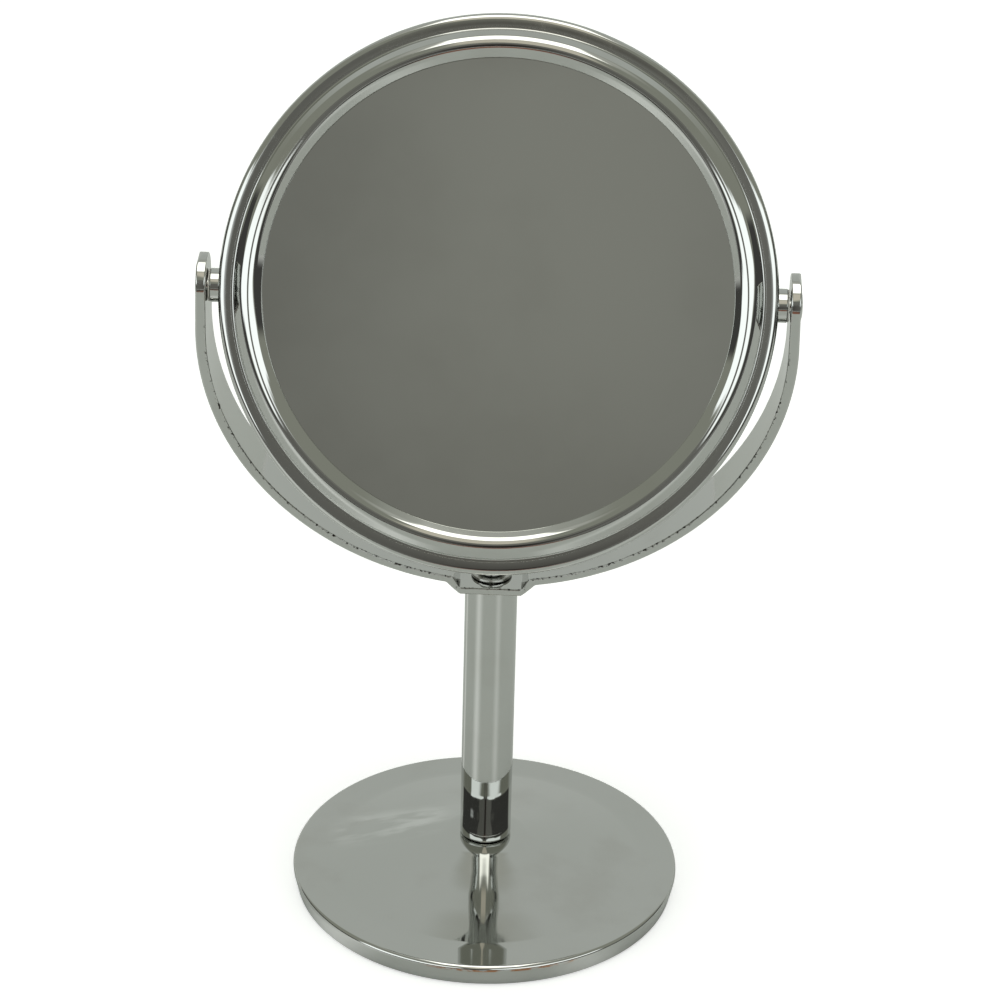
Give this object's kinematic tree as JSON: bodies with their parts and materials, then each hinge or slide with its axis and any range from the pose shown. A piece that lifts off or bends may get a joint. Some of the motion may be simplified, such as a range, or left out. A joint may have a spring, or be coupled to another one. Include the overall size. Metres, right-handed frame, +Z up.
{
  "type": "countertop mirror",
  "caption": "Round double-sided countertop mirror whose head tilts and turns right over in a U-shaped yoke on a short column and a weighted round base.",
  "frame": {"origin": "centre of the base's underside, on the surface the mirror stands on", "axes": "+Z up along the column; X along the head's pivot axis; the plain mirror faces -Y, tilted up"},
  "size_m": [0.178, 0.122, 0.2802],
  "materials": {
    "chrome": "polished",
    "fastener_steel": "satin",
    "nut_brass": "satin",
    "weight_iron": "matte",
    "pad_foam": "matte",
    "card": "matte",
    "mirror_glass": "polished",
    "white_plastic": "satin"
  },
  "bodies": {
    "stand": {"base_shell": "chrome", "base_weight": "weight_iron", "base_pad": "pad_foam", "base_screw": "fastener_steel", "base_washer": "fastener_steel", "base_lock_washer": "fastener_steel", "column_tube": "chrome", "column_foot_plug": "fastener_steel", "column_top_plug": "fastener_steel", "yoke": "chrome", "yoke_screw": "fastener_steel", "yoke_washer": "fastener_steel", "pivot_washer_left": "white_plastic", "pivot_washer_right": "white_plastic"},
    "head": {"head_hoop": "chrome", "front_bezel": "chrome", "rear_bezel": "chrome", "front_glass": "mirror_glass", "rear_glass": "mirror_glass", "core_ring": "white_plastic", "front_backing_card": "card", "rear_foam_ring": "pad_foam", "pivot_pin_left": "chrome", "pivot_pin_right": "chrome", "pivot_spacer_left": "chrome", "pivot_spacer_right": "chrome", "pivot_nut_left": "nut_brass", "pivot_nut_right": "nut_brass"}
  },
  "joints": [
    {"name": "head_tilt", "type": "hinge", "parent": "stand", "child": "head", "pos_m": [0, 0, 0.2038], "axis": [1, 0, 0], "continuous": true}
  ]
}
